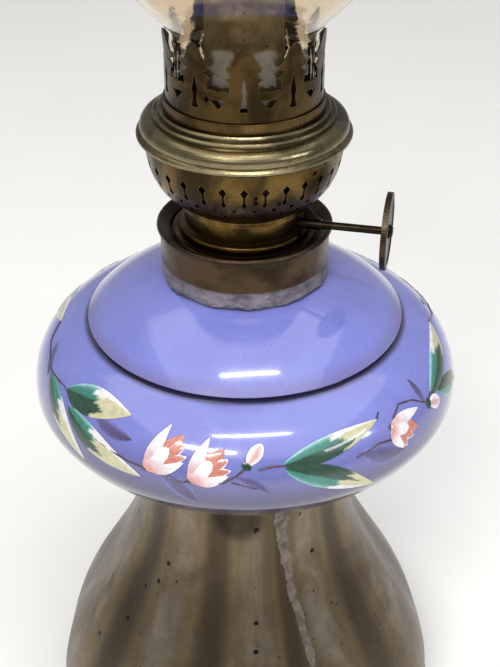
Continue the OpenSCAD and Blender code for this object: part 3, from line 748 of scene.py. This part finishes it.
foot = grow("foot_bell", bell, carrier("foot_carrier"), low=BELL_LOW * MM, top=BELL_TOP * MM,
            top_radius=TOP_R * MM, low_radius=BELL_R * MM, flutes=9.0, flute_depth=0.0017,
            first_ridge=math.radians(6), seam_top=SEAM_TOP, seam_low=SEAM_LOW, lap=0.0007,
            dent_depth=0.0004, press_depth=0.0002, material=foot_metal)
bm = bmesh.new()
bm.from_mesh(foot.data)
bmesh.ops.recalc_face_normals(bm, faces=bm.faces)
foot_surface = BVHTree.FromBMesh(bm)
bm.to_mesh(foot.data)
bm.free()
foot.data.shade_smooth()
thick = foot.modifiers.new("sheet", "SOLIDIFY")
thick.thickness = 0.0008
thick.offset = -1
settle(foot, "lamp_body", "sheet_metal", None, "foot_shell")

# %% [markdown]
# Solder was run down the lap and left rough. The strip is built ring by ring down the seam. Each
# ring finds the metal under it, so the strip lies on the flutes, with its two edges sunk in.


# %% The solder seam
def on_foot(angle, height):
    """The foot's surface point at a front angle and a height in millimetres, and its normal."""
    aim = Vector((math.sin(angle), -math.cos(angle), 0))
    start = aim * 0.2 + Vector((0, 0, height * MM))
    return foot_surface.ray_cast(start, -aim)[:2]


bm = bmesh.new()
rings = []
STEPS = 220
STRIP_TOP, STRIP_LOW = BELL_TOP - 4, 18
SUNK = -0.7 * MM
for i in range(STEPS + 1):
    share = i / STEPS
    height = STRIP_TOP - (STRIP_TOP - STRIP_LOW) * share
    middle = SEAM_TOP + (SEAM_LOW - SEAM_TOP) * (1 - height / BELL_TOP)
    middle += 0.02 * noise.noise(Vector((0, 3, height * 0.09)))
    wide = 2.0 + 2.0 * max(0, 1 - share * 3.5) + 1.2 * noise.noise(Vector((7, 0, height * 0.22)))
    wide = max(0.5, wide + 0.4 * noise.noise(Vector((1, 9, height * 1.1))))
    wide *= min(1, 12 * share + 0.3, 12 * (1 - share) + 0.3)
    ring = []
    for k in range(-4, 5):
        ragged_edge = 1 + 0.25 * noise.noise(Vector((k, 5, height * 0.8)))
        side = wide * ragged_edge * k / 4 / (on_foot(middle, height)[0].xy.length / MM)
        point, normal = on_foot(middle + side, height)
        crown = 0.16 * (1 - (k / 4)**2)**0.5 + 0.15 * noise.noise(Vector((k * 0.6, 2, height * 0.7)))
        lift = -0.25 if abs(k) == 4 else max(0.05, crown)
        ring.append(bm.verts.new(point + normal * lift * MM))
    inward = on_foot(middle, height)[1] * SUNK
    for k in range(3, -4, -2):
        ring.append(bm.verts.new(ring[k + 4].co + inward))
    rings.append(ring)
for low, high in zip(rings, rings[1:]):
    for k in range(len(low)):
        n = (k + 1) % len(low)
        bm.faces.new((low[k], low[n], high[n], high[k]))
bm.faces.new(rings[0][::-1])
bm.faces.new(rings[-1])
bmesh.ops.recalc_face_normals(bm, faces=bm.faces)
seam = as_object("solder_seam", bm, sharp=60)
settle(seam, "lamp_body", "sheet_metal", solder)

# %% [markdown]
# The garland lies on the curved glass, so every leaf is drawn in a flat map of it: one way is
# the angle round the lamp, the other is the length up the outline. A petal is a small shell
# between two such sheets, a hair above the glass and a hair below. Its colours are a function
# of where each point lies along and across the petal, and go into the mesh's paint attribute.

# %% The map of the glass
climb = [0.0]
for low, high in zip(skin, skin[1:]):
    climb.append(climb[-1] + math.dist(low, high))


def height_to_climb(height):
    for i in range(1, len(belly) + len(shoulder)):
        if skin[i][1] >= height:
            share = (height - skin[i - 1][1]) / (skin[i][1] - skin[i - 1][1])
            return climb[i - 1] + share * (climb[i] - climb[i - 1])
    return climb[len(belly) + len(shoulder) - 1]


def on_font(angle, up, lift=0.0):
    """The point at a front angle in radians and a length up the outline, lifted off the glass."""
    i = max(1, min(len(climb) - 1, next((k for k, c in enumerate(climb) if c >= up), 1)))
    share = (up - climb[i - 1]) / (climb[i] - climb[i - 1])
    radius = skin[i - 1][0] + share * (skin[i][0] - skin[i - 1][0])
    height = skin[i - 1][1] + share * (skin[i][1] - skin[i - 1][1])
    ahead = Vector(skin[min(i + 1, len(skin) - 1)]) - Vector(skin[max(i - 2, 0)])
    radius += ahead.y / ahead.length * lift
    height -= ahead.x / ahead.length * lift
    return Vector((radius * math.sin(angle), -radius * math.cos(angle), height)) * MM


def mapped(spot):
    """A (front angle in degrees, height) spot as a flat map point in millimetres."""
    return Vector((math.radians(spot[0]) * MAP_R, height_to_climb(spot[1])))


MAP_R = 74.0
print("length up the outline to the shoulder's groove:", round(height_to_climb(RIDGE_Z), 1), "mm")

# %% [markdown]
# One function makes every petal and leaf. The outline is a power of a sine, so a leaf can be
# slim or round and can come to a long point, and a bend curls its middle to one side.

# %% Petals and leaves
garland = bmesh.new()
paint_layer = garland.verts.layers.float_color.new("paint")


def blend_colour(first, second, share):
    share = max(0.0, min(1.0, share))
    return tuple(a + (b - a) * share for a, b in zip(first, second))


def petal(base, tip, width, colour, bend=0.0, fullness=0.8, belly_at=0.42, lift=0.15, long=26, across=12):
    """A closed petal between two map points. colour(u, v) is called with u along and v across."""
    axis = tip - base
    length = axis.length
    ahead = axis / length
    side = Vector((-ahead.y, ahead.x))
    sheets = []
    for level in (1, -1):
        sheet = []
        for i in range(long + 1):
            u = i / long
            swing = u**(math.log(0.5) / math.log(belly_at))
            half = width / 2 * max(0.0, math.sin(math.pi * swing))**fullness + 0.04
            row = []
            for k in range(across + 1):
                v = 2 * k / across - 1
                spot = base + ahead * length * u + side * (bend * math.sin(math.pi * u) + v * half)
                edge = (1 - v * v) * min(1, 8 * u, 8 * (1 - u))
                height = lift + 0.18 * edge if level > 0 else -0.12
                vert = garland.verts.new(on_font(spot.x / MAP_R, spot.y, height))
                vert[paint_layer] = (*colour(u, v), 1)
                row.append(vert)
            sheet.append(row)
        sheets.append(sheet)
    top, under = sheets
    for i in range(long):
        for k in range(across):
            garland.faces.new((top[i][k], top[i][k + 1], top[i + 1][k + 1], top[i + 1][k]))
            garland.faces.new((under[i][k], under[i + 1][k], under[i + 1][k + 1], under[i][k + 1]))
        garland.faces.new((top[i][0], top[i + 1][0], under[i + 1][0], under[i][0]))
        garland.faces.new((top[i][-1], under[i][-1], under[i + 1][-1], top[i + 1][-1]))
    for k in range(across):
        garland.faces.new((top[0][k], under[0][k], under[0][k + 1], top[0][k + 1]))
        garland.faces.new((top[-1][k], top[-1][k + 1], under[-1][k + 1], under[-1][k]))


DARK_GREEN, TEAL, CYAN = (0.010, 0.040, 0.028), (0.04, 0.20, 0.165), (0.36, 0.66, 0.68)
CREAM, WHITE, SALMON = (0.56, 0.52, 0.31), (0.76, 0.75, 0.82), (0.44, 0.12, 0.085)
PINK, SHADOW, STEM = (0.60, 0.29, 0.27), (0.06, 0.045, 0.11), (0.06, 0.024, 0.04)
GLASS_BLUE = (0.16, 0.17, 0.44)


def leaf_paint(split, dark_side, rim):
    """A leaf that is green near its base, dark in one half, and cream towards its tip."""
    def colour(u, v):
        half = v * dark_side
        border = split + 0.05 * math.sin(9 * v) - 0.12 * abs(v) + (0.10 if half > 0 else -0.04)
        if u < border:
            if half > -0.08:
                return blend_colour(DARK_GREEN, (0.035, 0.10, 0.06), abs(math.sin(14 * u + 5 * v)) * 0.5)
            return blend_colour(TEAL, CYAN, (-half - 0.62) * 3 * rim)
        if half < -0.62 + 0.3 * (1 - u):
            return blend_colour(WHITE, CREAM, 0.15)
        return blend_colour(CREAM, (0.50, 0.50, 0.34), 0.5 + 0.5 * math.sin(22 * v + 6 * u))
    return colour


def shadow_paint(u, v):
    return blend_colour(SHADOW, GLASS_BLUE, 0.9 * abs(v)**3 + 0.45 * (1 - u))


def leaf(base, tip, width, split=0.52, dark_side=1, rim=1.0, bend=0.0, lift=0.2):
    petal(mapped(base), mapped(tip), width, leaf_paint(split, dark_side, rim), bend, 0.85, 0.42, lift)


def shadow_leaf(base, tip, width, bend=0.0):
    petal(mapped(base), mapped(tip), width, shadow_paint, bend, 0.7, 0.5, 0.02)


def blossom(base, tall, right, size=1.0):
    """A cup of petals: salmon inside, white and pink outside, with one tall petal."""
    b, t, r = mapped(base), mapped(tall), mapped(right)
    middle = b + (t + r - 2 * b) * 0.46
    across = (r - t).normalized()
    inside = lambda u, v: blend_colour(SALMON, (0.62, 0.30, 0.24), abs(math.sin(7 * v + 3 * u)) * 0.7)
    edged = lambda u, v: WHITE if abs(v) > 0.72 or u > 0.93 else inside(u, v)
    outer = lambda u, v: blend_colour(PINK, WHITE, u * 2.3 - 0.25 + 0.2 * v)
    ahead = (middle - b).normalized()
    petal(b + ahead, middle + (middle - b) * 0.28, 5.6 * size, inside, 0, 0.7, 0.5, 0.10)
    petal(b + ahead, middle + (r - middle) * 0.5 + (middle - b) * 0.16, 4.2 * size, edged, 0, 0.7, 0.55, 0.16)
    petal(b, r, 4.0 * size, edged, 0.5, 0.75, 0.5, 0.2)
    low_right = b + (r - b) * 0.86 - (t - r).normalized() * 1.6
    petal(b, low_right, 4.2 * size, outer, -0.9 * size, 0.8, 0.4, 0.26)
    petal(b, t, 4.6 * size, outer, 0.5 * size, 0.8, 0.34, 0.3)
    petal(b - ahead * 0.8, b + (middle - b) * 0.78, 6.2 * size, outer, 0, 0.55, 0.42, 0.34)
    petal(b - ahead * 1.6, b + ahead * 0.8, 1.8 * size, lambda u, v: DARK_GREEN, 0, 0.6, 0.5, 0.2, 8, 6)


def bud(base, tip, width):
    b, t = mapped(base), mapped(tip)
    ahead = (t - b).normalized()
    face = lambda u, v: blend_colour((0.58, 0.27, 0.24), WHITE, 1.5 * abs(v + 0.1)**1.6 + 0.8 * abs(u - 0.45))
    petal(b, t, width, face, 0, 0.6, 0.55, 0.28)
    petal(b - ahead * 1.4, b + ahead * 1.3, width * 0.72, lambda u, v: DARK_GREEN, 0, 0.6, 0.5, 0.34, 10, 8)


def sprig(turn):
    """One half of the garland, turned round the lamp by the given number of degrees."""
    def at(angle, height):
        return (angle + turn, height)

    for base, tip, width, bend in (
            (at(-79, 190), at(-70, 184), 5, 0), (at(-44, 187), at(-30, 185), 5, -1.2),
            (at(-21, 178.5), at(-11, 169), 6, 0.5), (at(-3, 180), at(6, 174), 3.4, 0.6),
            (at(30, 181), at(44, 175), 7, -1.0), (at(56, 183.5), at(56, 191), 3.4, 0)):
        shadow_leaf(base, tip, width, bend)
    leaf(at(-69, 186), at(-44, 170.5), 7.5, 0.50, -1, 0.3, 0.8)
    leaf(at(-58, 187.2), at(-33, 190.3), 11.0, 0.54, -1, 0.8, 0.6)
    leaf(at(-54, 184), at(-26, 174.5), 8.0, 0.5, -1, 0.6, -0.6)
    leaf(at(9.5, 182.6), at(38, 187.8), 7.6, 0.62, -1, 1.0, 0.4)
    leaf(at(10, 181.6), at(33.5, 167.5), 8.2, 0.66, 1, 0.5, 1.0)
    leaf(at(60, 184), at(90, 190.5), 7.6, 0.62, -1, 1.0, 0.5)
    leaf(at(64, 182.5), at(85, 171.5), 8.0, 0.6, 1, 0.4, 0.6)
    blossom(at(-24.5, 178.5), at(-20.5, 191), at(-14.5, 184.3))
    blossom(at(-12.8, 177.6), at(-9.2, 189.6), at(-3.2, 181.6))
    blossom(at(41.5, 184.0), at(52.5, 184.4), at(45, 175.5), 1.0)
    bud(at(0.6, 183), at(4.6, 188.5), 4.6)
    bud(at(57.5, 182.6), at(63, 180.2), 5.2)
    return [[at(-69, 186), at(-60, 187), at(-55, 186)],
            [at(-53, 185), at(-40, 180.5), at(-30, 178.5), at(-24, 178)],
            [at(-22, 177.6), at(-16, 176.2), at(-12.5, 176.8), at(-5, 177.6), at(-2, 179.8), at(0.4, 182.4)],
            [at(-3, 177.8), at(3, 175.6)], [at(3.5, 181.8), at(7, 182.6), at(10, 182.4)],
            [at(38, 187.8), at(39.5, 189)], [at(29, 180), at(36, 181.5), at(40, 180.6)],
            [at(43, 186.0), at(47, 188.2), at(52, 187.0), at(57, 183.2)],
            [at(57.5, 183.2), at(60.5, 184.6), at(64, 184.0)],
            [at(90, 190.5), at(97, 188), at(105, 187), at(111, 186)]]


stem_spots = sprig(0) + sprig(180)
bmesh.ops.recalc_face_normals(garland, faces=garland.faces)
flowers = as_object("garland", garland, sharp=60)
settle(flowers, "lamp_body", "enamelled_glass", enamel)

# %% [markdown]
# The stems are curves on the glass. Geometry Nodes sweep a small round section along them and
# let the thickness breathe a little, as a brush does.

# %% Stems
stems, s_in, s_out = new_group(
    "brushed_stems", "GeometryNodeTree",
    [("Geometry", "NodeSocketGeometry", None), ("Thickness", FLOAT, 0.0003), ("Spacing", FLOAT, 0.0006),
     ("Material", "NodeSocketMaterial", None)], [("Geometry", "NodeSocketGeometry")])
g = s_in.outputs
even = stems.node("GeometryNodeResampleCurve", {"Curve": g["Geometry"], "Length": g["Spacing"]},
                  mode="LENGTH")
breath = stems.node("ShaderNodeTexNoise", {"Scale": 260.0}).outputs["Fac"]
sized = stems.node("GeometryNodeSetCurveRadius", {
    "Curve": even.outputs[0], "Radius": stems.remap(breath, 0.3, 0.7, 0.6, 1.3, how="LINEAR")})
section = stems.node("GeometryNodeCurvePrimitiveCircle", {"Resolution": 8, "Radius": g["Thickness"]})
swept = stems.node("GeometryNodeCurveToMesh", {"Curve": sized.outputs[0], "Profile Curve": section.outputs[0],
                                               "Fill Caps": True})
if "Scale" in swept.inputs:
    radius_field = stems.node("GeometryNodeInputRadius").outputs[0]
    stems.put(swept.inputs["Scale"], radius_field)
smooth = stems.node("GeometryNodeSetShadeSmooth", {"Geometry": swept.outputs[0]}).outputs[0]
hand_out(stems, s_out, smooth, g["Material"])

lines = bpy.data.curves.new("stem_lines", "CURVE")
lines.dimensions = "3D"
for spots in stem_spots:
    corners = [mapped(spot) for spot in spots]
    points = []
    for start, end in zip(corners, corners[1:]):
        for k in range(8):
            spot = start.lerp(end, k / 8)
            points.append(on_font(spot.x / MAP_R, spot.y, 0.05))
    points.append(on_font(corners[-1].x / MAP_R, corners[-1].y, 0.05))
    spline = lines.splines.new("POLY")
    spline.points.add(len(points) - 1)
    for point, place in zip(spline.points, points):
        point.co = (*place, 1)
stem_piece = grow("garland_stems", stems, carrier("stem_carrier", lines), thickness=0.00032,
                  spacing=0.0006, material=enamel)
coat = stem_piece.data.color_attributes.new("paint", "FLOAT_COLOR", "POINT")
for spot in coat.data:
    spot.color = (*STEM, 1)
settle(stem_piece, "lamp_body", "enamelled_glass", None)

# %% [markdown]
# The ring under the gallery and the rim of the knob are milled: hundreds of equal fine teeth.
# That is one group with a tooth count, which sets a small ridge on each point of a circle.

# %% Milled teeth
milling, m_in, m_out = new_group(
    "milled_teeth", "GeometryNodeTree",
    [("Teeth", INTEGER, 200), ("Radius", FLOAT, 0.03), ("Length", FLOAT, 0.003), ("Width", FLOAT, 0.0004),
     ("Height", FLOAT, 0.0003), ("Material", "NodeSocketMaterial", None)],
    [("Geometry", "NodeSocketGeometry")])
g = m_in.outputs
ring = milling.node("GeometryNodeMeshCircle", {"Vertices": g["Teeth"], "Radius": g["Radius"]}).outputs[0]
size = milling.node("ShaderNodeCombineXYZ", {"X": g["Height"], "Y": g["Width"], "Z": g["Length"]}).outputs[0]
tooth = milling.node("GeometryNodeMeshCube", {"Size": size}).outputs[0]
corner = milling.node("GeometryNodeInputPosition").outputs[0]
spot = milling.node("ShaderNodeSeparateXYZ", {0: corner}).outputs
facing = milling.node("ShaderNodeCombineXYZ", {"Z": milling.math("ARCTAN2", spot["Y"], spot["X"])}).outputs[0]
turned_round = milling.node("FunctionNodeEulerToRotation", {0: facing}).outputs[0]
placed = milling.node("GeometryNodeInstanceOnPoints", {
    "Points": ring, "Instance": tooth, "Rotation": turned_round})
hand_out(milling, m_out, placed.outputs[0], g["Material"])

ring_r, ring_low, ring_top = span("knurled_ring")
ring_teeth = grow("ring_milling", milling, carrier("ring_carrier"), teeth=300, radius=(ring_r - 0.02) * MM,
                  length=(ring_top - ring_low - 1.0) * MM, width=0.00034, height=0.00036, material=warm_brass)
ring_teeth.data.transform(Matrix.Translation((0, 0, (ring_low + ring_top) / 2 * MM)))
settle(ring_teeth, "burner", "aged_brass", None)

KNOB_R, KNOB_W = 13.3, 2.1
low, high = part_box("knob")
knob_middle = (low + high) / 2
knob_teeth = grow("knob_milling", milling, carrier("knob_carrier"), teeth=112, radius=(KNOB_R - 0.02) * MM,
                  length=(KNOB_W - 0.2) * MM, width=0.00042, height=0.0007, material=brown_brass)
SPINDLE_TURN = math.radians(12)
spindle_line = Vector((math.cos(SPINDLE_TURN), -math.sin(SPINDLE_TURN), 0))
lay = spindle_line.to_track_quat("Z", "Y").to_matrix().to_4x4()
knob_teeth.data.transform(Matrix.Translation(knob_middle) @ lay)
settle(knob_teeth, "knob_assembly", "dark_brass", None)

# %% [markdown]
# The frame's own solids are finely cut already, so the hidden and the plain ones keep their
# meshes and only take a finish.

# %% Finishes on the frame's own pieces
finishes = {
    "foot_rim": foot_metal, "bottom_plate": plain_steel, "ballast": cast_iron, "tie_rod": plain_steel,
    "rod_washer": plain_steel, "rod_nuts": plain_steel, "font_socket": foot_metal,
    "socket_plaster": plaster, "collar_plaster": plaster, "collar": brown_brass,
    "burner_gasket": leather, "thread_ring": brown_brass, "burner_neck": warm_brass,
    "burner_floor": warm_brass, "basket_ring": warm_brass, "basket": warm_brass,
    "vent_cover": pale_brass, "knurled_ring": warm_brass, "chimney_rest": warm_brass,
    "gallery": smoked_brass, "wick_tube": tinned, "draft_tube": tinned, "draft_duct": tinned,
    "spindle_sleeve": dark_brass, "spindle_gusset": dark_brass, "spindle_bearing": dark_brass,
    "spindle": dark_brass, "star_wheels": plain_steel, "knob": dark_brass, "knob_cap": dark_brass,
    "wick": cotton,
}
for node, finish in finishes.items():
    piece = bpy.data.objects[node]
    piece.data.materials.clear()
    piece.data.materials.append(finish)
print("finished nodes:", len(finishes))

# %% [markdown]
# The floor is a pale matt sheet, large enough to fill the picture.


# %% Floor
def pale_floor():
    material, t, shader = blank("pale_floor")
    age = use_group(t, patina, blotch_scale=3, grain_scale=90)
    t.put(shader.inputs["Base Color"], t.mix(age["Blotch"], rgb(0.93, 0.93, 0.92), rgb(0.91, 0.91, 0.90)))
    t.put(shader.inputs["Roughness"], t.remap(age["Grain"], 0.2, 0.8, 0.7, 0.8))
    return material


bm = bmesh.new()
bmesh.ops.create_grid(bm, x_segments=1, y_segments=1, size=4)
floor = as_object("floor", bm)
floor.data.materials.append(pale_floor())
